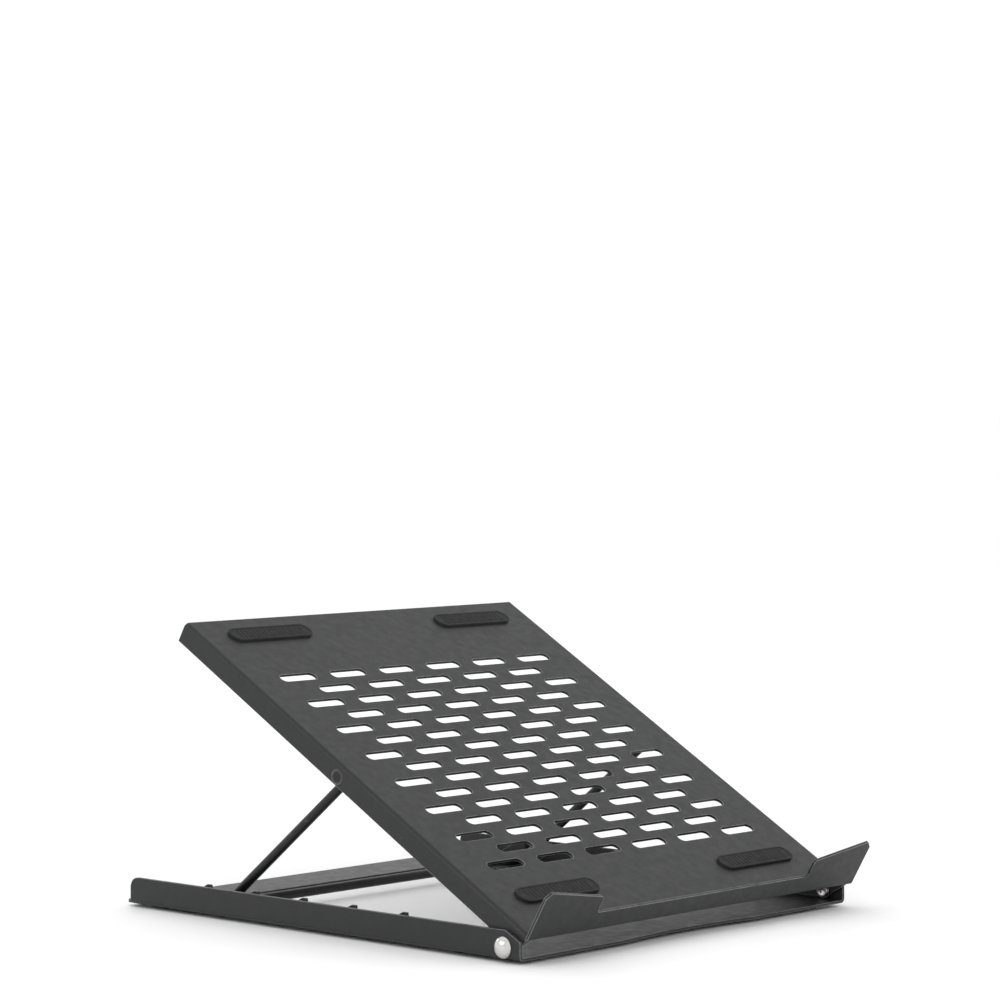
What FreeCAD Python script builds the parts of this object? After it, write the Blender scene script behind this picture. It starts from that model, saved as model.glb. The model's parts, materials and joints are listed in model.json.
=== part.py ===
import FreeCAD, Part
import os
import Sketcher
from FreeCAD import Placement, Rotation, Vector

# Folding laptop stand: a sheet-metal base, a tray that tilts on two rivets at the front of the
# base, and a bent wire prop that hangs from the tray and stands in one of five pairs of notches.
# Front is -Y, the floor is Z = 0, and X = 0 is the plane of symmetry.
#
# Three working frames are used, and each piece's Placement takes it to the stand's frame:
#   base pieces   Y from the hinge axis, Z from the floor
#   tray pieces   Y along the tray and Z square to it, both from the hinge axis
#   prop wire     Y along the legs from the pivot in the tray

ACROSS, ALONG, UPWARD = Vector(1, 0, 0), Vector(0, 1, 0), Vector(0, 0, 1)

SIZES = {
    # overall
    "stand_width": 204,
    "base_length": 225,
    "sheet_gauge": 1.2,
    "bend_outside": 2.0,
    # base
    "foot_thickness": 1.5,
    "foot_diameter": 11,
    "foot_inset": 13,
    "rail_height": 11.3,
    "rail_overhang": 5,
    "rail_back_radius": 4.5,
    "nose_length": 7.6,
    "nose_drop": 4,
    "front_strip": 40,
    "rear_strip": 27,
    "side_strip": 22,
    "window_radius": 9,
    "scoop_width": 80,
    "scoop_depth": 3,
    "overhang_radius": 2.5,
    # hinge
    "hinge_setback": 8.6,
    "hinge_height": 6.2,
    "tilt_angle": 30,
    "rivet_diameter": 3,
    "dome_diameter": 8.6,
    "dome_height": 3,
    "tail_diameter": 5.6,
    "tail_thickness": 1,
    "washer_diameter": 6,
    "washer_thickness": 0.4,
    "spring_washer_thickness": 0.5,
    "side_play": 0.1,
    "running_clearance": 0.05,
    # tray
    "tray_length": 212,
    "tray_rise": 10,
    "ear_clearance": 0.4,
    "ear_run": 12,
    "lip_reach": 8.8,
    "lip_height": 7.5,
    "lip_edge_flat": 0.1,
    "hook_width": 35.5,
    "hook_inner_height": 15,
    "hook_outer_height": 20.7,
    "hook_chamfer": 2.6,
    "hook_corner_radius": 1.5,
    "slot_length": 20,
    "slot_width": 5,
    "slot_columns": 6,
    "slot_rows": 9,
    "slot_pitch_across": 29,
    "slot_pitch_along": 19,
    "slot_field_start": 35,
    "hook_pad_thickness": 0.8,
    "hook_pad_margin": 1.2,
    "pad_length": 46,
    "pad_width": 9,
    "pad_thickness": 1.2,
    "pad_spread": 124,
    "front_pad_place": 15,
    "rear_pad_inset": 12,
    # prop
    "wire_diameter": 4,
    "pivot_distance": 107,
    "leg_length": 93.8,
    "leg_gap": 2.4,
    "wire_bend_radius": 4,
    "wire_floor_gap": 0.3,
    "bush_wall": 0.7,
    "bush_head_rim": 0.6,
    "bush_head_thickness": 0.8,
    "flange_margin": 0.05,
    # racks
    "rack_gap": 2,
    "seat_pitch": 28,
    "seat_count": 5,
    "seat_play": 0.5,
    "valley_height": 0.9,
    "tooth_height": 10.4,
    "tooth_lean": 1.2,
    "tooth_flat": 2.2,
    "rack_front_margin": 11,
    "rack_front_rise": 3.5,
    "rack_rear_run": 24,
    "tab_length": 9,
    "tab_inset": 5,
    "tab_clearance": 0.1,
}

doc = FreeCAD.newDocument("laptop_stand")
sheet = doc.addObject("Spreadsheet::Sheet", "sizes")
for row, (alias, size) in enumerate(SIZES.items(), 1):
    sheet.set(f"A{row}", alias)
    sheet.set(f"B{row}", str(size))
    sheet.setAlias(f"B{row}", alias)
doc.recompute()

# Lengths that follow from the driving sizes, written as expressions on the sheet.
HALF_WIDTH = "sizes.stand_width / 2"
RAIL_INNER = f"({HALF_WIDTH} - sizes.sheet_gauge)"
BASE_FRONT = "-sizes.hinge_setback"
BASE_REAR = "(sizes.base_length - sizes.hinge_setback)"
RAIL_REAR = f"({BASE_REAR} - sizes.rail_overhang)"
BASE_TOP = "(sizes.foot_thickness + sizes.sheet_gauge)"
RAIL_TOP = "(sizes.foot_thickness + sizes.rail_height)"

TRAY_HALF = f"({RAIL_INNER} - sizes.washer_thickness - sizes.side_play)"
TRAY_INNER = f"({TRAY_HALF} - sizes.sheet_gauge)"
TRAY_TOP = "sizes.tray_rise"
TRAY_UNDER = "(sizes.tray_rise - sizes.sheet_gauge)"
BEND_LINE = "(sizes.tray_rise - sizes.bend_outside)"
LIP_BACK = "(sizes.sheet_gauge - sizes.lip_reach)"
HOOK_INSIDE = f"({HALF_WIDTH} - sizes.hook_width)"
HOOK_TOP = "(sizes.tray_rise + sizes.hook_outer_height)"

# The tray's side flanges have just room for the heads of the prop's bushes below the bend.
BUSH_RADIUS = "(sizes.wire_diameter / 2 + sizes.running_clearance + sizes.bush_wall)"
HEAD_RADIUS = f"({BUSH_RADIUS} + sizes.bush_head_rim)"
PIVOT_RISE = f"({BEND_LINE} - sizes.flange_margin - {HEAD_RADIUS})"
FLANGE_FOOT = f"({PIVOT_RISE} - sizes.flange_margin - {HEAD_RADIUS})"

PIVOT_ALONG = f"(sizes.pivot_distance * cos(sizes.tilt_angle) - {PIVOT_RISE} * sin(sizes.tilt_angle))"
PIVOT_UP = f"(sizes.pivot_distance * sin(sizes.tilt_angle) + {PIVOT_RISE} * cos(sizes.tilt_angle))"
WIRE_REST = f"({BASE_TOP} + sizes.wire_floor_gap + sizes.wire_diameter / 2 - sizes.hinge_height)"
LEG_DROP = f"({PIVOT_UP} - {WIRE_REST})"
LAST_SEAT = f"({PIVOT_ALONG} + sqrt(sizes.leg_length ^ 2 - {LEG_DROP} ^ 2))"

RACK_OUTER = f"({TRAY_INNER} - sizes.rack_gap)"
RACK_INNER = f"({RACK_OUTER} - sizes.sheet_gauge)"
LEG_PLACE = f"({RACK_INNER} - sizes.leg_gap - sizes.wire_diameter / 2)"
RACK_FRONT = f"({LAST_SEAT} - (sizes.seat_count - 1) * sizes.seat_pitch - sizes.rack_front_margin)"
RACK_REAR = f"({LAST_SEAT} + sizes.rack_rear_run)"
SEAT_REACH = "(sizes.wire_diameter / 2 + sizes.seat_play)"

# The stand's origin is under the middle of its box, from the hook tips to the back of the base.
HOOK_TIP = f"(-sizes.lip_reach * cos(sizes.tilt_angle) - {HOOK_TOP} * sin(sizes.tilt_angle))"
CENTRE = f"(({HOOK_TIP} + {BASE_REAR}) / 2)"


def value_of(expression):
    return float(sheet.evalExpression(expression))


def new_body(label):
    body = doc.addObject("PartDesign::Body", label)
    body.Label = label
    return body


def origin_part(body, role):
    return next(feature for feature in body.Origin.OriginFeatures if feature.Role == role)


def new_sketch(body, role, offset="0"):
    """A sketch on one of the body's own origin planes, moved along the plane's normal."""
    sketch = body.newObject("Sketcher::SketchObject", f"{body.Name}_sketch")
    sketch.AttachmentSupport = [(origin_part(body, role), "")]
    sketch.MapMode = "FlatFace"
    sketch.setExpression("AttachmentOffset.Base.z", offset)
    return sketch


def bind(sketch, kind, *where, size):
    row = sketch.addConstraint(Sketcher.Constraint(kind, *where, value_of(size)))
    sketch.setExpression(f"Constraints[{row}]", size)


def pin_point(sketch, geometry, end, across, upward):
    bind(sketch, "DistanceX", -1, 1, geometry, end, size=across)
    bind(sketch, "DistanceY", -1, 1, geometry, end, size=upward)


def draw_outline(sketch, corners):
    """A closed outline of straight lines, each corner held by two expressions."""
    places = [Vector(value_of(across), value_of(upward), 0) for across, upward in corners]
    first = sketch.GeometryCount
    for index, start in enumerate(places):
        end = places[(index + 1) % len(places)]
        sketch.addGeometry(Part.LineSegment(start, end), False)
    for index, (across, upward) in enumerate(corners):
        following = first + (index + 1) % len(corners)
        sketch.addConstraint(Sketcher.Constraint("Coincident", first + index, 2, following, 1))
        pin_point(sketch, first + index, 1, across, upward)


def draw_box(sketch, low_across, high_across, low_up, high_up):
    draw_outline(sketch, [(low_across, low_up), (high_across, low_up),
                          (high_across, high_up), (low_across, high_up)])


def draw_circle(sketch, across, upward, radius):
    centre = Vector(value_of(across), value_of(upward), 0)
    circle = sketch.addGeometry(Part.Circle(centre, UPWARD, value_of(radius)), False)
    pin_point(sketch, circle, 3, across, upward)
    bind(sketch, "Radius", circle, size=radius)


def draw_slot(sketch, across, upward, length, width):
    """A round-ended slot that lies across, centred on a point."""
    radius = value_of(width) / 2
    reach = value_of(length) / 2 - radius
    middle = Vector(value_of(across), value_of(upward), 0)
    ends = [middle - ACROSS * reach, middle + ACROSS * reach]
    rise = ALONG * radius
    left = sketch.addGeometry(Part.Arc(ends[0] + rise, ends[0] - ACROSS * radius, ends[0] - rise), False)
    floor = sketch.addGeometry(Part.LineSegment(ends[0] - rise, ends[1] - rise), False)
    right = sketch.addGeometry(Part.Arc(ends[1] - rise, ends[1] + ACROSS * radius, ends[1] + rise), False)
    roof = sketch.addGeometry(Part.LineSegment(ends[1] + rise, ends[0] + rise), False)
    for straight, arc, line_end, arc_end in ((floor, left, 1, 2), (floor, right, 2, 1),
                                             (roof, right, 1, 2), (roof, left, 2, 1)):
        sketch.addConstraint(Sketcher.Constraint("Tangent", straight, line_end, arc, arc_end))
    sketch.addConstraint(Sketcher.Constraint("Equal", left, right))
    sketch.addConstraint(Sketcher.Constraint("Horizontal", floor))
    pin_point(sketch, left, 3, f"{across} - ({length} - {width}) / 2", upward)
    bind(sketch, "DistanceX", left, 3, right, 3, size=f"{length} - {width}")
    bind(sketch, "Radius", left, size=f"{width} / 2")


def settle(body, feature):
    """Make a feature the body's last one, and stop if it can't be built."""
    body.Tip = feature
    doc.recompute()
    assert feature.State == ["Up-to-date"], f"{feature.Name} could not be built"


def add_pad(body, sketch, length):
    doc.recompute()
    pad = body.newObject("PartDesign::Pad", f"{body.Name}_pad")
    pad.Profile = sketch
    pad.setExpression("Length", length)
    settle(body, pad)
    return pad


def add_cut(body, sketch):
    """A pocket that runs both ways through everything that its outline covers."""
    doc.recompute()
    solid_before = body.Shape.Volume
    pocket = body.newObject("PartDesign::Pocket", f"{body.Name}_cut")
    pocket.Profile = sketch
    pocket.SideType = "Symmetric"
    pocket.Type = "ThroughAll"
    settle(body, pocket)
    assert body.Shape.Volume < solid_before, f"{body.Label}: the cut removed nothing"
    return pocket


def add_mirror(body, features):
    mirror = body.newObject("PartDesign::Mirrored", f"{body.Name}_mirror")
    mirror.Originals = features
    mirror.MirrorPlane = (origin_part(body, "YZ_Plane"), [""])
    settle(body, mirror)


def add_grid(body, feature, columns, pitch_across, rows, pitch_along):
    """Copies of a feature in columns along X and rows along Y."""
    grid = body.newObject("PartDesign::LinearPattern", f"{body.Name}_grid")
    grid.Originals = [feature]
    grid.Direction = (origin_part(body, "X_Axis"), [""])
    grid.Mode = "Spacing"
    grid.setExpression("Offset", pitch_across)
    grid.setExpression("Occurrences", columns)
    grid.Direction2 = (origin_part(body, "Y_Axis"), [""])
    grid.Mode2 = "Spacing"
    grid.setExpression("Offset2", pitch_along)
    grid.setExpression("Occurrences2", rows)
    settle(body, grid)


def add_fillet(body, direction, spots, radius):
    """Round the straight edges that run in a direction through any of the given spots."""
    names = []
    for number, edge in enumerate(body.Shape.Edges, 1):
        if edge.Curve.TypeId != "Part::GeomLine" or abs(edge.Curve.Direction.dot(direction)) < 0.999:
            continue
        for spot in spots:
            aside = edge.CenterOfMass - Vector(*(value_of(place) for place in spot))
            if (aside - direction * aside.dot(direction)).Length < 0.01:
                names.append(f"Edge{number}")
                break
    assert names, f"{body.Label}: no edge to round at {spots}"
    rounded = body.Tip
    fillet = body.newObject("PartDesign::Fillet", f"{body.Name}_fillet")
    fillet.Base = (rounded, names)
    fillet.setExpression("Radius", radius)
    settle(body, fillet)


def place_on_base(piece, across="0", along="0", upward="0"):
    piece.setExpression("Placement.Base.x", across)
    piece.setExpression("Placement.Base.y", f"{along} - {CENTRE}")
    piece.setExpression("Placement.Base.z", upward)


def place_on_tray(piece):
    piece.Placement = Placement(Vector(), Rotation(ACROSS, value_of("sizes.tilt_angle")))
    piece.setExpression("Placement.Rotation.Angle", "sizes.tilt_angle")
    piece.setExpression("Placement.Base.y", f"-{CENTRE}")
    piece.setExpression("Placement.Base.z", "sizes.hinge_height")


def place_at_pivot(piece):
    """The prop hangs from its pivot in the tray and slopes down to the rearmost seat."""
    slope = f"-asin({LEG_DROP} / sizes.leg_length)"
    angle = -sheet.evalExpression(f"asin({LEG_DROP} / sizes.leg_length)").Value
    piece.Placement = Placement(Vector(), Rotation(ACROSS, angle))
    piece.setExpression("Placement.Rotation.Angle", slope)
    piece.setExpression("Placement.Base.y", f"{PIVOT_ALONG} - {CENTRE}")
    piece.setExpression("Placement.Base.z", f"{PIVOT_UP} + sizes.hinge_height")


def tab_places():
    """Centre of each rack's three tabs, along the rack."""
    first = f"{RACK_FRONT} + sizes.tab_inset + sizes.tab_length / 2"
    last = f"{RACK_REAR} - sizes.tab_inset - sizes.tab_length / 2"
    return [f"({first})", f"(({first}) + ({last})) / 2", f"({last})"]


def make_base_frame():
    """Folded channel with an open middle: a flat floor and an upright rail along each side."""
    body = new_body("base_frame")
    section = new_sketch(body, "XZ_Plane", f"-{RAIL_REAR}")
    draw_outline(section, [
        (f"-{HALF_WIDTH}", "sizes.foot_thickness"),
        (HALF_WIDTH, "sizes.foot_thickness"),
        (HALF_WIDTH, RAIL_TOP),
        (RAIL_INNER, RAIL_TOP),
        (RAIL_INNER, BASE_TOP),
        (f"-{RAIL_INNER}", BASE_TOP),
        (f"-{RAIL_INNER}", RAIL_TOP),
        (f"-{HALF_WIDTH}", RAIL_TOP),
    ])
    add_pad(body, section, f"{RAIL_REAR} - {BASE_FRONT}")
    outer_bends = [(f"{side}{HALF_WIDTH}", "0", "sizes.foot_thickness") for side in ("", "-")]
    inner_bends = [(f"{side}{RAIL_INNER}", "0", BASE_TOP) for side in ("", "-")]
    add_fillet(body, ALONG, outer_bends, "sizes.bend_outside")
    add_fillet(body, ALONG, inner_bends, "sizes.bend_outside - sizes.sheet_gauge")

    overhang = new_sketch(body, "XY_Plane", "sizes.foot_thickness")
    side_reach = f"({HALF_WIDTH} - sizes.bend_outside)"
    draw_box(overhang, f"-{side_reach}", side_reach, f"{RAIL_REAR} - sizes.sheet_gauge", BASE_REAR)
    add_pad(body, overhang, "sizes.sheet_gauge")
    add_fillet(body, UPWARD, [(f"{side}{side_reach}", BASE_REAR, "0") for side in ("", "-")],
               "sizes.overhang_radius")

    nose = new_sketch(body, "YZ_Plane")
    draw_outline(nose, [
        (BASE_FRONT, f"{RAIL_TOP} - sizes.nose_drop"),
        (f"{BASE_FRONT} + sizes.nose_length", RAIL_TOP),
        (BASE_FRONT, RAIL_TOP),
    ])
    add_cut(body, nose)
    add_fillet(body, ACROSS, [("0", RAIL_REAR, RAIL_TOP)], "sizes.rail_back_radius")

    window = new_sketch(body, "XY_Plane")
    window_side = f"({HALF_WIDTH} - sizes.side_strip)"
    window_front = f"({BASE_FRONT} + sizes.front_strip)"
    window_rear = f"({BASE_REAR} - sizes.rear_strip)"
    draw_box(window, f"-{window_side}", window_side, window_front, window_rear)
    add_cut(body, window)
    corners = [(f"{side}{window_side}", end, "0")
               for side in ("", "-") for end in (window_front, window_rear)]
    add_fillet(body, UPWARD, corners, "sizes.window_radius")

    scoop = new_sketch(body, "XY_Plane")
    scoop_radius = "((sizes.scoop_width ^ 2 / 4 + sizes.scoop_depth ^ 2) / (2 * sizes.scoop_depth))"
    draw_circle(scoop, "0", f"{BASE_FRONT} + sizes.scoop_depth - {scoop_radius}", scoop_radius)
    add_cut(body, scoop)

    tab_slots = new_sketch(body, "XY_Plane")
    for middle in tab_places():
        reach = "(sizes.tab_length / 2 + sizes.tab_clearance)"
        draw_box(tab_slots, f"{RACK_INNER} - sizes.tab_clearance", f"{RACK_OUTER} + sizes.tab_clearance",
                 f"{middle} - {reach}", f"{middle} + {reach}")
    add_mirror(body, [add_cut(body, tab_slots)])

    rivet_holes = new_sketch(body, "YZ_Plane")
    draw_circle(rivet_holes, "0", "sizes.hinge_height", "sizes.rivet_diameter / 2 + sizes.running_clearance")
    add_cut(body, rivet_holes)
    place_on_base(body)


def make_rack(side, sign):
    """Flat toothed bar on edge, with three tabs let into the base. Each seat has a steep back."""
    body = new_body(f"{side}_rack")
    outline = new_sketch(body, "YZ_Plane", RACK_INNER if sign > 0 else f"-{RACK_OUTER}")
    valley = f"({BASE_TOP} + sizes.valley_height)"
    tip = f"({BASE_TOP} + sizes.tooth_height)"
    seat_count = int(value_of("sizes.seat_count"))
    corners = []
    for middle in tab_places():
        start, end = f"{middle} - sizes.tab_length / 2", f"{middle} + sizes.tab_length / 2"
        corners += [(start, BASE_TOP), (start, "sizes.foot_thickness"),
                    (end, "sizes.foot_thickness"), (end, BASE_TOP)]
    corners.insert(0, (RACK_FRONT, BASE_TOP))
    corners += [(RACK_REAR, BASE_TOP), (RACK_REAR, valley)]
    for index in range(seat_count):
        seat = f"({LAST_SEAT} - {index} * sizes.seat_pitch)"
        root = f"({seat} + {SEAT_REACH})"
        corners += [
            (f"{root} + sizes.tooth_lean + sizes.tooth_flat", tip),
            (f"{root} + sizes.tooth_lean", tip),
            (root, valley),
            (f"{seat} - {SEAT_REACH}", valley),
        ]
    corners.append((RACK_FRONT, f"{valley} + sizes.rack_front_rise"))
    draw_outline(outline, corners)
    add_pad(body, outline, "sizes.sheet_gauge")
    place_on_base(body)


def make_foot(name, sign, along):
    """Rubber disc under a corner of the base."""
    foot = doc.addObject("Part::Cylinder", name)
    foot.Label = name
    foot.setExpression("Radius", "sizes.foot_diameter / 2")
    foot.setExpression("Height", "sizes.foot_thickness")
    place_on_base(foot, f"{sign} * ({HALF_WIDTH} - sizes.foot_inset)", along)


def make_ring(name, sign, inside, thickness, outer_radius):
    """Flat ring on the hinge axis; its face nearest the rail is at the inside distance from X = 0."""
    body = new_body(name)
    profile = new_sketch(body, "YZ_Plane", f"{inside} - {thickness}" if sign > 0 else f"-({inside})")
    draw_circle(profile, "0", "sizes.hinge_height", outer_radius)
    draw_circle(profile, "0", "sizes.hinge_height", "sizes.rivet_diameter / 2 + sizes.running_clearance")
    add_pad(body, profile, thickness)
    place_on_base(body)


def make_hinge_rivet(side, sign):
    """Domed rivet turned about the hinge axis: dome outside the rail, shank, and flattened tail."""
    body = new_body(f"{side}_hinge_rivet")
    profile = new_sketch(body, "XZ_Plane")
    tail_face = f"({TRAY_INNER} - sizes.side_play - sizes.spring_washer_thickness)"
    tail_end = f"({tail_face} - sizes.tail_thickness)"
    shank_top = "(sizes.hinge_height + sizes.rivet_diameter / 2)"
    tail_top = "(sizes.hinge_height + sizes.tail_diameter / 2)"
    dome_top = "(sizes.hinge_height + sizes.dome_diameter / 2)"
    dome_end = f"({HALF_WIDTH} + sizes.dome_height)"
    dome_radius = "((sizes.dome_diameter ^ 2 / 4 + sizes.dome_height ^ 2) / (2 * sizes.dome_height))"
    stations = [(tail_end, "sizes.hinge_height"), (tail_end, tail_top), (tail_face, tail_top),
                (tail_face, shank_top), (HALF_WIDTH, shank_top), (HALF_WIDTH, dome_top),
                (dome_end, "sizes.hinge_height")]
    mark = "" if sign > 0 else "-"
    stations = [(f"{mark}{across}", upward) for across, upward in stations]
    points = [Vector(value_of(across), value_of(upward), 0) for across, upward in stations]
    for start, end in zip(points[:5], points[1:6]):
        profile.addGeometry(Part.LineSegment(start, end), False)
    centre = Vector(points[6].x - sign * value_of(dome_radius), points[6].y, 0)
    halfway = (points[5] + points[6]) / 2 - centre
    crown = centre + halfway.normalize() * value_of(dome_radius)
    arc = profile.addGeometry(Part.Arc(points[5], crown, points[6]), False)
    profile.addGeometry(Part.LineSegment(points[6], points[0]), False)
    arc_start, arc_end = (1, 2) if profile.getPoint(arc, 1).isEqual(points[5], 0.001) else (2, 1)
    for index, (across, upward) in enumerate(stations[:5]):
        pin_point(profile, index, 1, across, upward)
        if index:
            profile.addConstraint(Sketcher.Constraint("Coincident", index - 1, 2, index, 1))
    profile.addConstraint(Sketcher.Constraint("Coincident", 4, 2, arc, arc_start))
    profile.addConstraint(Sketcher.Constraint("Coincident", arc, arc_end, 6, 1))
    profile.addConstraint(Sketcher.Constraint("Coincident", 6, 2, 0, 1))
    pin_point(profile, 4, 2, *stations[5])
    pin_point(profile, 6, 1, *stations[6])
    bind(profile, "Radius", arc, size=dome_radius)
    doc.recompute()
    turned = body.newObject("PartDesign::Revolution", f"{body.Name}_turned")
    turned.Profile = profile
    turned.ReferenceAxis = (profile, ["Edge7"])
    turned.Angle = 360
    settle(body, turned)
    place_on_base(body)


def make_tray_panel():
    """Folded tray: slotted top, side flanges with hinge ears, rear flange, front lip with two hooks."""
    body = new_body("tray_panel")
    section = new_sketch(body, "XZ_Plane", "-sizes.tray_length")
    draw_outline(section, [
        (f"-{TRAY_HALF}", FLANGE_FOOT),
        (f"-{TRAY_INNER}", FLANGE_FOOT),
        (f"-{TRAY_INNER}", TRAY_UNDER),
        (TRAY_INNER, TRAY_UNDER),
        (TRAY_INNER, FLANGE_FOOT),
        (TRAY_HALF, FLANGE_FOOT),
        (TRAY_HALF, TRAY_TOP),
        (f"-{TRAY_HALF}", TRAY_TOP),
    ])
    add_pad(body, section, f"sizes.tray_length - {LIP_BACK}")
    outer_bends = [(f"{side}{TRAY_HALF}", "0", TRAY_TOP) for side in ("", "-")]
    inner_bends = [(f"{side}{TRAY_INNER}", "0", TRAY_UNDER) for side in ("", "-")]
    add_fillet(body, ALONG, outer_bends, "sizes.bend_outside")
    add_fillet(body, ALONG, inner_bends, "sizes.bend_outside - sizes.sheet_gauge")

    flange_front = new_sketch(body, "YZ_Plane")
    draw_box(flange_front, LIP_BACK, "sizes.ear_run", FLANGE_FOOT, BEND_LINE)
    add_cut(body, flange_front)

    ear = new_sketch(body, "YZ_Plane", TRAY_INNER)
    radius = f"(sizes.hinge_height - {BASE_TOP} - sizes.ear_clearance)"
    front_foot, rear_foot = (f"-{radius}", "0"), (radius, "0")
    stations = [front_foot, (LIP_BACK, BEND_LINE), ("sizes.ear_run", BEND_LINE),
                ("sizes.ear_run", FLANGE_FOOT), rear_foot]
    points = [Vector(value_of(along), value_of(upward), 0) for along, upward in stations]
    for start, end in zip(points[:4], points[1:]):
        ear.addGeometry(Part.LineSegment(start, end), False)
    round_end = ear.addGeometry(Part.Arc(points[4], Vector(0, -value_of(radius), 0), points[0]), False)
    for index in range(4):
        pin_point(ear, index, 1, *stations[index])
        if index:
            ear.addConstraint(Sketcher.Constraint("Coincident", index - 1, 2, index, 1))
    pin_point(ear, 3, 2, *rear_foot)
    low_start, low_end = (1, 2) if ear.getPoint(round_end, 1).isEqual(points[4], 0.001) else (2, 1)
    ear.addConstraint(Sketcher.Constraint("Coincident", 3, 2, round_end, low_start))
    ear.addConstraint(Sketcher.Constraint("Coincident", round_end, low_end, 0, 1))
    ear.addConstraint(Sketcher.Constraint("PointOnObject", round_end, 3, -1))
    add_mirror(body, [add_pad(body, ear, "sizes.sheet_gauge")])

    rear_flange = new_sketch(body, "XZ_Plane", "-sizes.tray_length")
    draw_box(rear_flange, f"-{TRAY_INNER}", TRAY_INNER, FLANGE_FOOT, TRAY_UNDER)
    add_pad(body, rear_flange, "sizes.sheet_gauge")

    front = new_sketch(body, "XZ_Plane", f"-{LIP_BACK}")
    lip_top = f"({TRAY_TOP} + sizes.lip_height)"
    hook_inner_top = f"({TRAY_TOP} + sizes.hook_inner_height)"
    right_half = [
        (HOOK_INSIDE, lip_top),
        (HOOK_INSIDE, hook_inner_top),
        (f"{HALF_WIDTH} - sizes.hook_chamfer", HOOK_TOP),
        (HALF_WIDTH, f"{HOOK_TOP} - sizes.hook_chamfer"),
        (HALF_WIDTH, TRAY_UNDER),
    ]
    left_half = [(f"-({across})", upward) for across, upward in reversed(right_half)]
    draw_outline(front, right_half + left_half)
    add_pad(body, front, "sizes.sheet_gauge")
    inner_tips = [(f"{side}{HOOK_INSIDE}", "0", hook_inner_top) for side in ("", "-")]
    inner_roots = [(f"{side}{HOOK_INSIDE}", "0", lip_top) for side in ("", "-")]
    add_fillet(body, ALONG, inner_tips + inner_roots, "sizes.hook_corner_radius")
    lip_edge_radius = "sizes.sheet_gauge - sizes.lip_edge_flat"
    add_fillet(body, ACROSS, [("0", "-sizes.lip_reach", TRAY_UNDER)], lip_edge_radius)

    hinge_holes = new_sketch(body, "YZ_Plane")
    draw_circle(hinge_holes, "0", "0", "sizes.rivet_diameter / 2 + sizes.running_clearance")
    draw_circle(hinge_holes, "sizes.pivot_distance", PIVOT_RISE,
                f"{BUSH_RADIUS} + sizes.running_clearance")
    add_cut(body, hinge_holes)

    first_column = "-(sizes.slot_columns - 1) * sizes.slot_pitch_across / 2"
    slot = new_sketch(body, "XY_Plane")
    draw_slot(slot, first_column, "sizes.slot_field_start", "sizes.slot_length", "sizes.slot_width")
    add_grid(body, add_cut(body, slot), "sizes.slot_columns", "sizes.slot_pitch_across",
             "sizes.slot_rows", "sizes.slot_pitch_along")
    between = new_sketch(body, "XY_Plane")
    draw_slot(between, f"{first_column} + sizes.slot_pitch_across / 2",
              "sizes.slot_field_start + sizes.slot_pitch_along / 2", "sizes.slot_length", "sizes.slot_width")
    add_grid(body, add_cut(body, between), "sizes.slot_columns - 1", "sizes.slot_pitch_across",
             "sizes.slot_rows - 1", "sizes.slot_pitch_along")
    place_on_tray(body)


def make_hook_pad(side, sign):
    """Soft pad on the laptop's side of a hook, cut to the hook's outline."""
    body = new_body(f"{side}_hook_pad")
    outline = new_sketch(body, "XZ_Plane", f"-({LIP_BACK} + sizes.hook_pad_thickness)")
    margin = "sizes.hook_pad_margin"
    mark = "" if sign > 0 else "-"
    corners = [
        (f"({HOOK_INSIDE} + {margin})", f"{TRAY_TOP} + {margin}"),
        (f"({HOOK_INSIDE} + {margin})", f"{TRAY_TOP} + sizes.hook_inner_height - {margin}"),
        (f"({HALF_WIDTH} - sizes.hook_chamfer - {margin})", f"{HOOK_TOP} - {margin}"),
        (f"({HALF_WIDTH} - {margin})", f"{HOOK_TOP} - sizes.hook_chamfer - {margin}"),
        (f"({HALF_WIDTH} - {margin})", f"{TRAY_TOP} + {margin}"),
    ]
    draw_outline(outline, [(f"{mark}{across}", upward) for across, upward in corners])
    add_pad(body, outline, "sizes.hook_pad_thickness")
    place_on_tray(body)


def make_tray_pad(name, sign, along):
    """Long round-ended grip strip on the tray."""
    body = new_body(name)
    outline = new_sketch(body, "XY_Plane", TRAY_TOP)
    draw_slot(outline, f"{sign} * sizes.pad_spread / 2", along, "sizes.pad_length", "sizes.pad_width")
    add_pad(body, outline, "sizes.pad_thickness")
    place_on_tray(body)


def make_prop_bush(side, sign):
    """Plain bush in the tray's flange, with a thin head on the inside of the flange."""
    body = new_body(f"{side}_prop_bush")
    bore = "(sizes.wire_diameter / 2 + sizes.running_clearance)"
    head_face = f"({TRAY_INNER} - sizes.bush_head_thickness)"
    head = new_sketch(body, "YZ_Plane", head_face if sign > 0 else f"-{TRAY_INNER}")
    draw_circle(head, "sizes.pivot_distance", PIVOT_RISE, HEAD_RADIUS)
    draw_circle(head, "sizes.pivot_distance", PIVOT_RISE, bore)
    add_pad(body, head, "sizes.bush_head_thickness")
    sleeve = new_sketch(body, "YZ_Plane", TRAY_INNER if sign > 0 else f"-{TRAY_HALF}")
    draw_circle(sleeve, "sizes.pivot_distance", PIVOT_RISE, BUSH_RADIUS)
    draw_circle(sleeve, "sizes.pivot_distance", PIVOT_RISE, bore)
    add_pad(body, sleeve, "sizes.sheet_gauge")
    place_on_tray(body)


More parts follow.
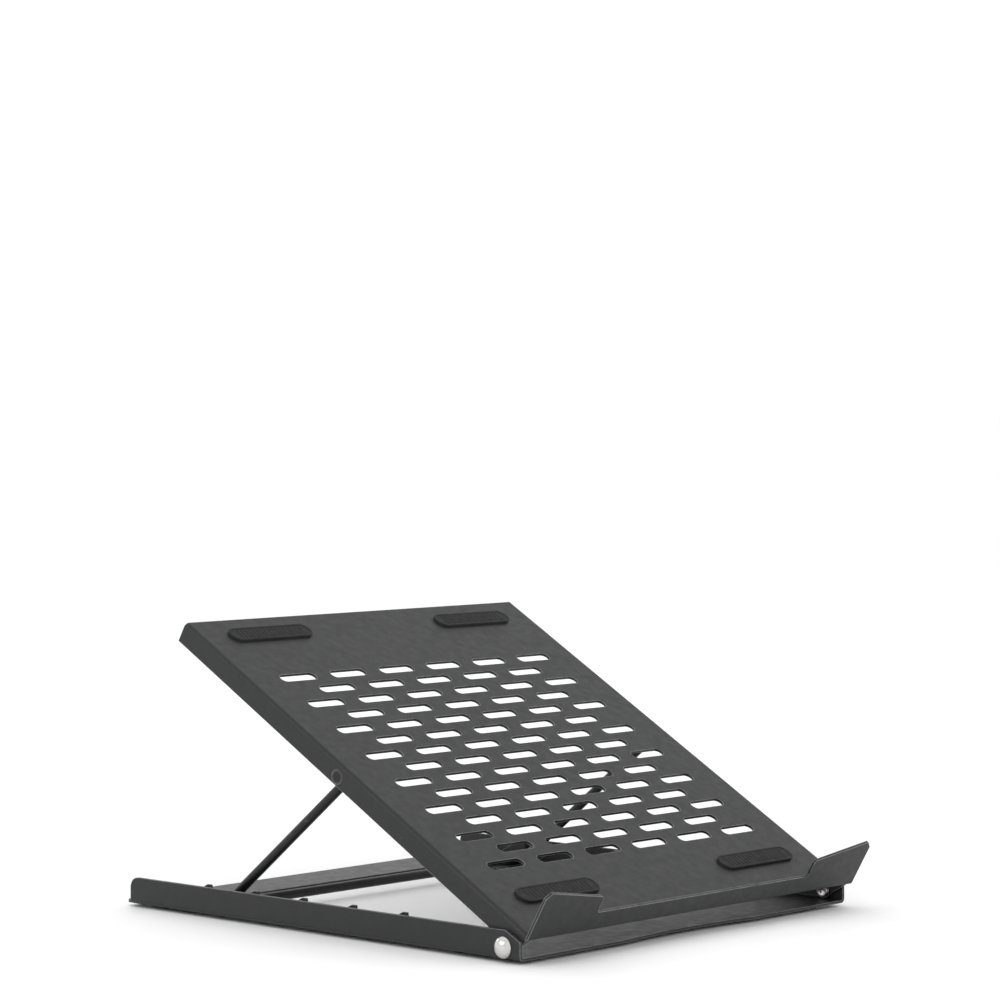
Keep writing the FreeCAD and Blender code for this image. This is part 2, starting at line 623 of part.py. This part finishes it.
def make_prop_wire():
    """One bent wire: a stub in each bush, two legs, and the bar across the bottom."""
    body = new_body("prop_wire")
    path = new_sketch(body, "XY_Plane")
    bend = "sizes.wire_bend_radius"
    half_span, leg, foot_line = TRAY_HALF, LEG_PLACE, "sizes.leg_length"
    radius, reach, side, length = (value_of(size) for size in (bend, half_span, leg, foot_line))
    lines = [
        (Vector(-reach, 0, 0), Vector(-side - radius, 0, 0)),
        (Vector(-side, radius, 0), Vector(-side, length - radius, 0)),
        (Vector(-side + radius, length, 0), Vector(side - radius, length, 0)),
        (Vector(side, length - radius, 0), Vector(side, radius, 0)),
        (Vector(side + radius, 0, 0), Vector(reach, 0, 0)),
    ]
    centres = [Vector(-side - radius, radius, 0), Vector(-side + radius, length - radius, 0),
               Vector(side - radius, length - radius, 0), Vector(side + radius, radius, 0)]
    for start, end in lines:
        path.addGeometry(Part.LineSegment(start, end), False)
    for index, centre in enumerate(centres):
        start, end = lines[index][1], lines[index + 1][0]
        outward = ((start + end) / 2 - centre).normalize()
        arc = path.addGeometry(Part.Arc(start, centre + outward * radius, end), False)
        first, last = (1, 2) if path.getPoint(arc, 1).isEqual(start, 0.001) else (2, 1)
        path.addConstraint(Sketcher.Constraint("Tangent", index, 2, arc, first))
        path.addConstraint(Sketcher.Constraint("Tangent", arc, last, index + 1, 1))
        bind(path, "Radius", arc, size=bend)
    for line in (0, 2, 4):
        path.addConstraint(Sketcher.Constraint("Horizontal", line))
    for line in (1, 3):
        path.addConstraint(Sketcher.Constraint("Vertical", line))
    bind(path, "DistanceX", -1, 1, 0, 1, size=f"-{half_span}")
    bind(path, "DistanceX", -1, 1, 4, 2, size=half_span)
    bind(path, "DistanceY", -1, 1, 0, 1, size="0")
    bind(path, "DistanceX", -1, 1, 1, 1, size=f"-{leg}")
    bind(path, "DistanceX", -1, 1, 3, 1, size=leg)
    bind(path, "DistanceY", -1, 1, 2, 1, size=foot_line)
    bind(path, "DistanceY", -1, 1, 4, 2, size="0")
    section = new_sketch(body, "YZ_Plane", f"-{half_span}")
    draw_circle(section, "0", "0", "sizes.wire_diameter / 2")
    doc.recompute()
    pipe = body.newObject("PartDesign::AdditivePipe", f"{body.Name}_pipe")
    pipe.Profile = section
    pipe.Spine = (path, [f"Edge{number}" for number in range(1, 10)])
    settle(body, pipe)
    place_at_pivot(body)


make_base_frame()
make_tray_panel()
make_prop_wire()
washer_room = f"sizes.hinge_height - {BASE_TOP} - sizes.bend_outside + sizes.sheet_gauge"
for side, sign in (("left", -1), ("right", 1)):
    make_rack(side, sign)
    make_hinge_rivet(side, sign)
    make_ring(f"{side}_hinge_washer", sign, RAIL_INNER, "sizes.washer_thickness",
              f"{washer_room} - sizes.running_clearance")
    make_ring(f"{side}_spring_washer", sign, f"{TRAY_INNER} - sizes.side_play",
              "sizes.spring_washer_thickness", "sizes.washer_diameter / 2")
    make_hook_pad(side, sign)
    make_prop_bush(side, sign)
    make_foot(f"front_{side}_foot", sign, f"{BASE_FRONT} + sizes.foot_inset")
    make_foot(f"rear_{side}_foot", sign, f"{RAIL_REAR} - sizes.foot_inset")
    make_tray_pad(f"front_{side}_tray_pad", sign, "sizes.front_pad_place")
    make_tray_pad(f"rear_{side}_tray_pad", sign, "sizes.tray_length - sizes.rear_pad_inset")
doc.recompute()

for item in doc.Objects:
    assert not {"Invalid", "Error"} & set(item.State), f"{item.Label} failed: {item.State}"

pieces = [item for item in doc.Objects if item.TypeId in ("PartDesign::Body", "Part::Cylinder")]
os.makedirs("parts", exist_ok=True)
for piece in pieces:
    assert not piece.Shape.isNull() and piece.Shape.isValid(), f"{piece.Label} has no valid shape"
    piece.Shape.exportStep(f"parts/{piece.Label}.step")
    box = piece.Shape.BoundBox
    print(f"{piece.Label:22s} solids {len(piece.Shape.Solids)}  volume {piece.Shape.Volume:9.1f}  "
          f"x {box.XMin:7.1f} {box.XMax:7.1f}  y {box.YMin:7.1f} {box.YMax:7.1f}  "
          f"z {box.ZMin:6.1f} {box.ZMax:6.1f}")
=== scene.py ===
import json
import math

import bmesh
import bpy
from mathutils import Matrix, Vector


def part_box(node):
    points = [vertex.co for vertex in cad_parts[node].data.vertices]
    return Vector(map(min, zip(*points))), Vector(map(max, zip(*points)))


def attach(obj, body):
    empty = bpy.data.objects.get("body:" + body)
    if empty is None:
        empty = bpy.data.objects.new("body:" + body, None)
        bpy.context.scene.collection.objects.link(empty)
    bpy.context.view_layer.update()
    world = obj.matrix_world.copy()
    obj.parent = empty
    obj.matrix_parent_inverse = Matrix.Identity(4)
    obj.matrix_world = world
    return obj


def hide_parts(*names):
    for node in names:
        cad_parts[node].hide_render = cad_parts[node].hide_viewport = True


# A folding laptop stand in matte black powder-coated steel, on a plain white studio floor.
# Lengths are in metres. Front is -Y, the floor is Z = 0, and X = 0 is the plane of symmetry.

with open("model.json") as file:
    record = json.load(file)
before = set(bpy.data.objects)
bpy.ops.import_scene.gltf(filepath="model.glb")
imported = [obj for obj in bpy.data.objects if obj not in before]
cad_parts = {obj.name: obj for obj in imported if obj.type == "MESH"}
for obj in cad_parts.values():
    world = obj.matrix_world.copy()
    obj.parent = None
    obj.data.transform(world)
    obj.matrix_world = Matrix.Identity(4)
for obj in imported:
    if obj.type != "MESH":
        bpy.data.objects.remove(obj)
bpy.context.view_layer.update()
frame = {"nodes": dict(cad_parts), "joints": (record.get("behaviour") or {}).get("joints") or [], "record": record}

MM = 0.001
SIDES = ("left", "right")
JOINTS = {joint["name"]: joint for joint in frame["joints"]}
HINGE = Vector(JOINTS["tray_tilt"]["pos_m"])
MOUNTS = {mount["name"]: mount for mount in frame["record"]["mounts"]}
REST_NORMAL = Vector(MOUNTS["laptop_rest"]["axis"])
TILT = math.atan2(-REST_NORMAL.y, REST_NORMAL.z)
TRAY_TO_ROW = Matrix.Translation(HINGE) @ Matrix.Rotation(TILT, 4, "X")

# Camera of the reference view: where it stands, which way it looks, and its focal length.
CAMERA_PLACE = Vector((-1.0307, -0.9408, 0.2105))
CAMERA_HEADING = math.radians(47.68)
CAMERA_DIP = math.radians(1.62)
CAMERA_LENS = 120.25

# Noise values lie mostly between these two.
MOST_NOISE = (0.3, 0.7)
# A Mix node has sockets for each kind of value; these are its two colours and its colour result.
MIX_FIRST, MIX_SECOND, MIX_RESULT = 6, 7, 2

# Angles in degrees above which an edge stays sharp, on folded sheet and on turned or moulded pieces.
SHEET_SHARP = 32
MOULDED_SHARP = 40
SHEET_EDGE = 0.22 * MM
RACK_EDGE = 0.18 * MM
HOOK_PAD_EDGE = 0.25 * MM
# Vertices of a CAD mesh closer than this are one, and faces flatter than this, in degrees, are joined.
MERGE_DISTANCE = 0.002 * MM
FLAT_ANGLE = 0.5
# A ring of a turned profile with a smaller radius is a single point.
POINT_RADIUS = 1e-7


# ---------------------------------------------------------------- shader helpers

class Shader:
    """A material under construction: makes nodes and joins them."""

    def __init__(self, name):
        self.material = bpy.data.materials.new(name)
        self.material.use_nodes = True
        self.tree = self.material.node_tree
        self.surface = self.tree.nodes["Principled BSDF"]
        self.place = self.node("ShaderNodeTexCoord").outputs["Object"]

    def node(self, kind, **settings):
        node = self.tree.nodes.new(kind)
        for name, value in settings.items():
            setattr(node, name, value)
        return node

    def link(self, output, socket):
        self.tree.links.new(output, socket)

    def noise(self, scale, detail=2.0, roughness=0.5, stretch=None):
        texture = self.node("ShaderNodeTexNoise")
        texture.inputs["Scale"].default_value = scale
        texture.inputs["Detail"].default_value = detail
        texture.inputs["Roughness"].default_value = roughness
        place = self.place
        if stretch:
            mapping = self.node("ShaderNodeMapping")
            mapping.inputs["Scale"].default_value = stretch
            self.link(place, mapping.inputs["Vector"])
            place = mapping.outputs["Vector"]
        self.link(place, texture.inputs["Vector"])
        return texture.outputs["Fac"]

    def spread(self, value, low, high, to_low=0.0, to_high=1.0):
        """Map a value from one span to another, held at the ends."""
        span = self.node("ShaderNodeMapRange")
        self.link(value, span.inputs["Value"])
        for name, number in (("From Min", low), ("From Max", high), ("To Min", to_low), ("To Max", to_high)):
            span.inputs[name].default_value = number
        return span.outputs["Result"]

    def blend(self, amount, dark, bright):
        """Mix two colours, each a colour or a socket, by an amount."""
        mix = self.node("ShaderNodeMix", data_type="RGBA")
        self.link(amount, mix.inputs["Factor"])
        for index, colour in ((MIX_FIRST, dark), (MIX_SECOND, bright)):
            socket = mix.inputs[index]
            if isinstance(colour, tuple):
                socket.default_value = (*colour, 1.0)
            else:
                self.link(colour, socket)
        return mix.outputs[MIX_RESULT]

    def multiply(self, first, second):
        product = self.node("ShaderNodeMath", operation="MULTIPLY")
        self.link(first, product.inputs[0])
        self.link(second, product.inputs[1])
        return product.outputs[0]

    def edge_highlight_mask(self, radius, start, full):
        """Mask for a painted edge highlight: 1 along sharp outer edges and 0 elsewhere."""
        soft = self.node("ShaderNodeBevel", samples=6)
        soft.inputs["Radius"].default_value = radius
        true = self.node("ShaderNodeNewGeometry")
        dot = self.node("ShaderNodeVectorMath", operation="DOT_PRODUCT")
        self.link(soft.outputs["Normal"], dot.inputs[0])
        self.link(true.outputs["Normal"], dot.inputs[1])
        return self.spread(dot.outputs["Value"], start, full)

    def bump(self, height, strength, depth, below=None):
        bump = self.node("ShaderNodeBump")
        bump.inputs["Strength"].default_value = strength
        bump.inputs["Distance"].default_value = depth
        self.link(height, bump.inputs["Height"])
        if below:
            self.link(below, bump.inputs["Normal"])
        return bump.outputs["Normal"]

    def finish(self, colour, roughness, normal, metallic=0.0, specular=0.5):
        self.link(colour, self.surface.inputs["Base Color"])
        self.link(roughness, self.surface.inputs["Roughness"])
        self.link(normal, self.surface.inputs["Normal"])
        self.surface.inputs["Metallic"].default_value = metallic
        self.surface.inputs["Specular IOR Level"].default_value = specular
        return self.material


def powder_coat():
    """Matte black powder: fine pebbled grain, faint orange peel, and a painted highlight along folds and edges,
    broken up by noise like light rubbing wear.
    """
    shader = Shader("powder_coat_black")
    patches = shader.noise(28, detail=4)
    colour = shader.blend(patches, (0.013, 0.0135, 0.0145), (0.017, 0.0175, 0.0185))
    flecks = shader.spread(shader.noise(1500, detail=1), 0.70, 0.80)
    colour = shader.blend(flecks, colour, (0.055, 0.056, 0.059))
    # Painted highlight: sharp edges get a lighter colour that stands in for the glint of light along them. Noise
    # breaks it up so it also reads as light rubbing wear.
    edges = shader.edge_highlight_mask(0.6 * MM, 0.98, 0.84)
    painted_edge_highlight = shader.multiply(edges, shader.spread(shader.noise(160, detail=3), 0.22, 0.50))
    colour = shader.blend(painted_edge_highlight, colour, (0.25, 0.25, 0.26))
    roughness = shader.spread(shader.noise(240, detail=3), *MOST_NOISE, 0.42, 0.52)
    peel = shader.bump(shader.noise(900, detail=2), 0.15, 0.06 * MM)
    grain = shader.bump(shader.noise(2600, detail=2), 0.35, 0.04 * MM, peel)
    return shader.finish(colour, roughness, grain, specular=0.36)


def wire_coat():
    """Smoother satin black on drawn wire, with faint lengthwise draw lines and scuffs."""
    shader = Shader("wire_coat_black")
    colour = shader.blend(shader.noise(60, detail=3), (0.008, 0.008, 0.009), (0.013, 0.013, 0.014))
    scuffs = shader.spread(shader.noise(700, detail=3, stretch=(1.0, 0.25, 0.25)), 0.66, 0.76)
    colour = shader.blend(scuffs, colour, (0.06, 0.06, 0.062))
    roughness = shader.spread(shader.noise(300, detail=2), *MOST_NOISE, 0.30, 0.44)
    normal = shader.bump(shader.noise(1400, detail=2), 0.3, 0.03 * MM)
    return shader.finish(colour, roughness, normal, specular=0.3)


def bright_plate(name, bright, dull, low_gloss, high_gloss):
    """Plated steel with cloudy patches and hair scratches."""
    shader = Shader(name)
    colour = shader.blend(shader.noise(350, detail=4), dull, bright)
    scratches = shader.spread(shader.noise(2600, detail=2, stretch=(1.0, 0.12, 1.0)), 0.62, 0.72)
    colour = shader.blend(scratches, colour, tuple(part * 0.7 for part in dull))
    roughness = shader.spread(shader.noise(500, detail=3), *MOST_NOISE, low_gloss, high_gloss)
    normal = shader.bump(shader.noise(900, detail=2), 0.25, 0.03 * MM)
    return shader.finish(colour, roughness, normal, metallic=1.0)


def soft_rubber(name, dark, bright, grain_scale):
    """Matte silicone or rubber: moulded stipple and scattered specks of dust."""
    shader = Shader(name)
    colour = shader.blend(shader.noise(90, detail=4), dark, bright)
    dust = shader.spread(shader.noise(1100, detail=2), 0.66, 0.80)
    colour = shader.blend(dust, colour, tuple(part * 2.2 for part in bright))
    roughness = shader.spread(shader.noise(400, detail=2), *MOST_NOISE, 0.70, 0.86)
    normal = shader.bump(shader.noise(grain_scale, detail=2), 0.5, 0.05 * MM)
    return shader.finish(colour, roughness, normal, specular=0.35)


def nylon():
    """Moulded nylon, slightly waxy, with faint flow marks."""
    shader = Shader("nylon_black")
    colour = shader.blend(shader.noise(220, detail=3), (0.016, 0.016, 0.017), (0.030, 0.030, 0.031))
    roughness = shader.spread(shader.noise(600, detail=2), *MOST_NOISE, 0.38, 0.52)
    normal = shader.bump(shader.noise(1800, detail=2), 0.3, 0.02 * MM)
    return shader.finish(colour, roughness, normal)


MATERIALS = {
    "powder_coat": powder_coat(),
    "wire_coat": wire_coat(),
    "rivet_steel": bright_plate("nickel_plate", (0.72, 0.71, 0.70), (0.50, 0.49, 0.48), 0.14, 0.26),
    "spring_steel": bright_plate("spring_steel", (0.50, 0.50, 0.50), (0.36, 0.36, 0.36), 0.28, 0.42),
    "nylon": nylon(),
    "pad_rubber": soft_rubber("pad_silicone", (0.014, 0.014, 0.015), (0.024, 0.024, 0.025), 1700),
    "foot_rubber": soft_rubber("foot_rubber", (0.018, 0.018, 0.018), (0.030, 0.030, 0.030), 1200),
}


# ---------------------------------------------------------------- mesh helpers

def new_piece(name, mesh, body, slot, node=None):
    """Put a mesh in the scene as a piece that rides on a body and may stand for a CAD node."""
    piece = bpy.data.objects.new(name, mesh)
    bpy.context.scene.collection.objects.link(piece)
    mesh.materials.clear()
    mesh.materials.append(MATERIALS[slot])
    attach(piece, body)
    if node:
        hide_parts(node)
    return piece


def shade(mesh, sharp_angle):
    for polygon in mesh.polygons:
        polygon.use_smooth = True
    mesh.set_sharp_from_angle(angle=math.radians(sharp_angle))


def soften_edges(piece, width, segments):
    """Round a piece's sharp edges and keep its flat faces flat."""
    bevel = piece.modifiers.new("edge_rounding", "BEVEL")
    bevel.width = width
    bevel.segments = segments
    bevel.limit_method = "ANGLE"
    bevel.angle_limit = math.radians(SHEET_SHARP)
    bevel.use_clamp_overlap = True
    bevel.miter_outer = "MITER_ARC"
    weighted = piece.modifiers.new("flat_faces", "WEIGHTED_NORMAL")
    weighted.keep_sharp = True


def refined(node, body, slot, width, segments=2):
    """A CAD node's own shape, joined into whole faces, with its sheet edges rounded."""
    mesh = bpy.data.meshes.new(f"{node}_mesh")
    work = bmesh.new()
    work.from_mesh(frame["nodes"][node].data)
    bmesh.ops.remove_doubles(work, verts=work.verts, dist=MERGE_DISTANCE)
    bmesh.ops.dissolve_limit(work, angle_limit=math.radians(FLAT_ANGLE), verts=work.verts, edges=work.edges)
    work.to_mesh(mesh)
    work.free()
    piece = new_piece(f"{node}_finished", mesh, body, slot, node)
    shade(mesh, SHEET_SHARP)
    soften_edges(piece, width, segments)
    return piece


def turned(name, profile, centre, direction, body, slot, node=None, steps=96):
    """A solid of revolution: profile is (distance along the axis, radius), from end to end."""
    mesh = bpy.data.meshes.new(f"{name}_mesh")
    work = bmesh.new()
    rings = []
    for along, radius in profile:
        if radius < POINT_RADIUS:
            rings.append([work.verts.new((0, 0, along))])
            continue
        turns = (2 * math.pi * step / steps for step in range(steps))
        places = ((radius * math.cos(turn), radius * math.sin(turn), along) for turn in turns)
        rings.append([work.verts.new(place) for place in places])
    for low, high in zip(rings, rings[1:]):
        for step in range(steps):
            after = (step + 1) % steps
            if len(low) == 1:
                work.faces.new((low[0], high[after], high[step]))
            elif len(high) == 1:
                work.faces.new((low[step], low[after], high[0]))
            else:
                work.faces.new((low[step], low[after], high[after], high[step]))
    bmesh.ops.recalc_face_normals(work, faces=work.faces)
    turn = Vector((0, 0, 1)).rotation_difference(direction).to_matrix().to_4x4()
    bmesh.ops.transform(work, matrix=Matrix.Translation(centre) @ turn, verts=work.verts)
    work.to_mesh(mesh)
    work.free()
    shade(mesh, MOULDED_SHARP)
    return new_piece(name, mesh, body, slot, node)


def rounding(centre_along, centre_radius, size, start, end, steps=6):
    """Points of a profile on a rounded corner, between two angles in degrees."""
    points = []
    for step in range(steps + 1):
        angle = math.radians(start + (end - start) * step / steps)
        points.append((centre_along + size * math.sin(angle), centre_radius + size * math.cos(angle)))
    return points


def in_tray_frame(node):
    """Lowest and highest corner of a CAD node, measured along and square to the tray."""
    to_tray = TRAY_TO_ROW.inverted()
    places = [to_tray @ vertex.co for vertex in frame["nodes"][node].data.vertices]
    return (Vector(min(place[axis] for place in places) for axis in range(3)),
            Vector(max(place[axis] for place in places) for axis in range(3)))


# ---------------------------------------------------------------- pieces

def make_tray_pad(node):
    """Moulded silicone strip: round ends, rolled rim, sunk top with fine grip ribs."""
    low, high = in_tray_frame(node)
    radius = (high.y - low.y) / 2
    middle = (low + high) / 2
    reach = (high.x - low.x) / 2 - radius
    thickness = high.z - low.z
    arc_steps = 20

    def loop(inset, height):
        points = []
        for sign in (1, -1):
            for step in range(arc_steps + 1):
                turn = math.radians(-90 + 180 * step / arc_steps)
                across = sign * (reach + (radius - inset) * math.cos(turn))
                along = sign * (radius - inset) * math.sin(turn)
                points.append((middle.x + across, middle.y + along, low.z + height))
        return points

    roll = 0.35 * MM
    rim, rim_slope, sink = 0.9 * MM, 0.2 * MM, 0.25 * MM
    stations = [(0.0, 0.0), (0.0, thickness - roll)]
    for turn in map(math.radians, (22, 45, 68, 90)):
        stations.append((roll * (1 - math.cos(turn)), thickness - roll + roll * math.sin(turn)))
    stations += [(rim, thickness), (rim + rim_slope, thickness - sink)]
    mesh = bpy.data.meshes.new(f"{node}_mesh")
    work = bmesh.new()
    loops = [[work.verts.new(point) for point in loop(inset, height)] for inset, height in stations]
    work.faces.new(list(reversed(loops[0])))
    for lower, upper in zip(loops, loops[1:]):
        count = len(lower)
        for index in range(count):
            after = (index + 1) % count
            work.faces.new((lower[index], lower[after], upper[after], upper[index]))
    work.faces.new(loops[-1])
    rib, rib_height, rib_gap, rib_sunk, rib_clear = 0.45 * MM, 0.22 * MM, 2.2 * MM, 0.1 * MM, 0.7 * MM
    rib_half = radius - rim - rib_clear
    crown_width, crown_length = 0.5, 0.96
    count = int(2 * reach / rib_gap)
    for index in range(count + 1):
        across = middle.x - count * rib_gap / 2 + index * rib_gap
        top = low.z + thickness - sink
        corners = [(-rib, -rib_half), (rib, -rib_half), (rib, rib_half), (-rib, rib_half)]
        foot = [work.verts.new((across + x, middle.y + y, top - rib_sunk)) for x, y in corners]
        crown = [work.verts.new((across + x * crown_width, middle.y + y * crown_length, top + rib_height))
                 for x, y in corners]
        work.faces.new(list(reversed(foot)))
        work.faces.new(crown)
        for side in range(4):
            after = (side + 1) % 4
            work.faces.new((foot[side], foot[after], crown[after], crown[side]))
    bmesh.ops.recalc_face_normals(work, faces=work.faces)
    bmesh.ops.transform(work, matrix=TRAY_TO_ROW, verts=work.verts)
    work.to_mesh(mesh)
    work.free()
    shade(mesh, MOULDED_SHARP)
    new_piece(f"{node}_moulded", mesh, "tray", "pad_rubber", node)


def make_foot(node):
    """Rubber disc with a rolled lower rim and a shallow ring pressed into its tread."""
    low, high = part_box(node)
    middle = (low + high) / 2
    radius, height = (high.x - low.x) / 2, high.z - low.z
    roll, top_edge = 0.4 * MM, 0.1 * MM
    ring_share = 0.62
    ring, ring_width, ring_depth = radius * ring_share, 0.5 * MM, 0.3 * MM
    profile = [(ring_depth, 0.0), (ring_depth, ring - ring_width), (0.0, ring)]
    profile += rounding(roll, radius - roll, roll, -90, 0)
    profile += [(height - top_edge, radius), (height, radius - top_edge), (height, 0.0)]
    turned(f"{node}_disc", profile, Vector((middle.x, middle.y, low.z)), Vector((0, 0, 1)),
           "base", "foot_rubber", node)


def make_rivet(side, sign):
    """Domed rivet: shallow crown with a thin rim, shank, and a rolled tail with a punched dimple."""
    node = f"{side}_hinge_rivet"
    low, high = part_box(node)
    dome_radius = (high.z - low.z) / 2
    length = high.x - low.x
    rail_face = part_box("base_frame")[1].x
    dome_height = (high.x if sign > 0 else -low.x) - rail_face
    tail_thickness, tail_radius, tail_roll, shank_radius = 1.0 * MM, 2.8 * MM, 0.35 * MM, 1.5 * MM
    dimple = [(0.45 * MM, 0.0), (0.35 * MM, 0.6 * MM), (0.0, 1.1 * MM)]
    rim, rim_edge = 0.35 * MM, 0.12 * MM
    crown_height = dome_height - rim
    crown_sphere = (dome_radius ** 2 + crown_height ** 2) / (2 * crown_height)
    profile = dimple + [(0.0, tail_radius - tail_roll)]
    profile += rounding(tail_roll, tail_radius - tail_roll, tail_roll, -90, 0)
    profile += [(tail_thickness, tail_radius), (tail_thickness, shank_radius)]
    shank_end = length - dome_height
    profile += [(shank_end, shank_radius), (shank_end, dome_radius - rim_edge),
                (shank_end + rim_edge, dome_radius), (shank_end + rim, dome_radius)]
    half_angle = math.asin(min(1.0, dome_radius / crown_sphere))
    crown_steps = 14
    for step in range(1, crown_steps + 1):
        angle = half_angle * (1 - step / crown_steps)
        along = length - crown_sphere + crown_sphere * math.cos(angle)
        profile.append((along, crown_sphere * math.sin(angle) if step < crown_steps else 0.0))
    tail_end = Vector((low.x if sign > 0 else high.x, HINGE.y, HINGE.z))
    turned(f"{side}_rivet_turned", profile, tail_end, Vector((sign, 0, 0)), "base", "rivet_steel", node)


def make_stakes(side):
    """Staking marks: where each rack tab is swaged over in its slot, on the underside."""
    low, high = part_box(f"{side}_rack")
    middle = (low.x + high.x) / 2
    base_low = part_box("base_frame")[0].z
    tab_centre, marks, spacing = 9.5 * MM, 3, 2.6 * MM
    proud, depth = 0.10 * MM, 0.30 * MM
    profile = [(0.0, 0.0), (0.03 * MM, 0.45 * MM), (proud, 0.6 * MM), (depth, 0.62 * MM), (depth, 0.0)]
    for index, along in enumerate((low.y + tab_centre, (low.y + high.y) / 2, high.y - tab_centre)):
        for number in range(marks):
            place = Vector((middle, along + (number - 1) * spacing, base_low - proud))
            turned(f"{side}_stake_{index}_{number}", profile, place, Vector((0, 0, 1)),
                   "base", "powder_coat", steps=20)


refined("base_frame", "base", "powder_coat", SHEET_EDGE, 3)
refined("tray_panel", "tray", "powder_coat", SHEET_EDGE, 3)
for side, sign in zip(SIDES, (-1, 1)):
    refined(f"{side}_rack", "base", "powder_coat", RACK_EDGE)
    refined(f"{side}_hook_pad", "tray", "pad_rubber", HOOK_PAD_EDGE, 3)
    make_rivet(side, sign)
    make_stakes(side)
    for end in ("front", "rear"):
        make_foot(f"{end}_{side}_foot")
        make_tray_pad(f"{end}_{side}_tray_pad")

SLOT_OF_NODE = {row["node"]: row["material_slot"] for row in frame["record"]["subparts"]}
for name, node in frame["nodes"].items():
    node.data.materials.clear()
    node.data.materials.append(MATERIALS[SLOT_OF_NODE[name]])


# ---------------------------------------------------------------- studio

def make_floor():
    mesh = bpy.data.meshes.new("studio_floor")
    reach = 60.0
    corners = [(-reach, -reach, 0), (reach, -reach, 0), (reach, reach, 0), (-reach, reach, 0)]
    mesh.from_pydata([Vector(corner) for corner in corners], [], [(0, 1, 2, 3)])
    floor = bpy.data.objects.new("studio_floor", mesh)
    bpy.context.scene.collection.objects.link(floor)
    shader = Shader("floor_white")
    colour = shader.blend(shader.noise(1.5, detail=2), (0.94, 0.94, 0.94), (0.95, 0.95, 0.95))
    roughness = shader.spread(shader.noise(20, detail=2), *MOST_NOISE, 0.55, 0.65)
    normal = shader.bump(shader.noise(300, detail=1), 0.05, 0.05 * MM)
    mesh.materials.append(shader.finish(colour, roughness, normal, specular=0.3))


def make_light(name, place, aim, size, power):
    light = bpy.data.lights.new(name, "AREA")
    light.shape = "RECTANGLE"
    light.size, light.size_y = size
    light.energy = power
    lamp = bpy.data.objects.new(name, light)
    lamp.location = place
    lamp.rotation_euler = (Vector(aim) - Vector(place)).to_track_quat("-Z", "Y").to_euler()
    bpy.context.scene.collection.objects.link(lamp)


def make_world():
    world = bpy.data.worlds.new("studio")
    world.use_nodes = True
    background = world.node_tree.nodes["Background"]
    background.inputs["Color"].default_value = (1.0, 1.0, 1.0, 1.0)
    background.inputs["Strength"].default_value = 1.06
    bpy.context.scene.world = world


def make_camera():
    heading = Vector((math.sin(CAMERA_HEADING), math.cos(CAMERA_HEADING), 0))
    forward = heading * math.cos(CAMERA_DIP) - Vector((0, 0, math.sin(CAMERA_DIP)))
    camera = bpy.data.cameras.new("view")
    camera.lens = CAMERA_LENS
    camera.sensor_width = 36
    camera.clip_start = 0.05
    camera.clip_end = 200
    stand = bpy.data.objects.new("view", camera)
    turn = forward.to_track_quat("-Z", "Y").to_matrix().to_4x4()
    stand.matrix_world = Matrix.Translation(CAMERA_PLACE) @ turn
    bpy.context.scene.collection.objects.link(stand)
    bpy.context.scene.camera = stand


make_floor()
make_world()
make_light("key", (-1.3, 0.1, 0.9), (0, 0, 0.05), (1.0, 0.6), 4)
make_light("fill", (1.3, -1.0, 0.7), (0, 0, 0.05), (0.9, 0.9), 0.4)
make_light("rim", (0.3, 1.5, 0.8), (0, 0, 0.05), (1.2, 0.4), 3)
make_camera()
bpy.context.scene.view_settings.view_transform = "Standard"
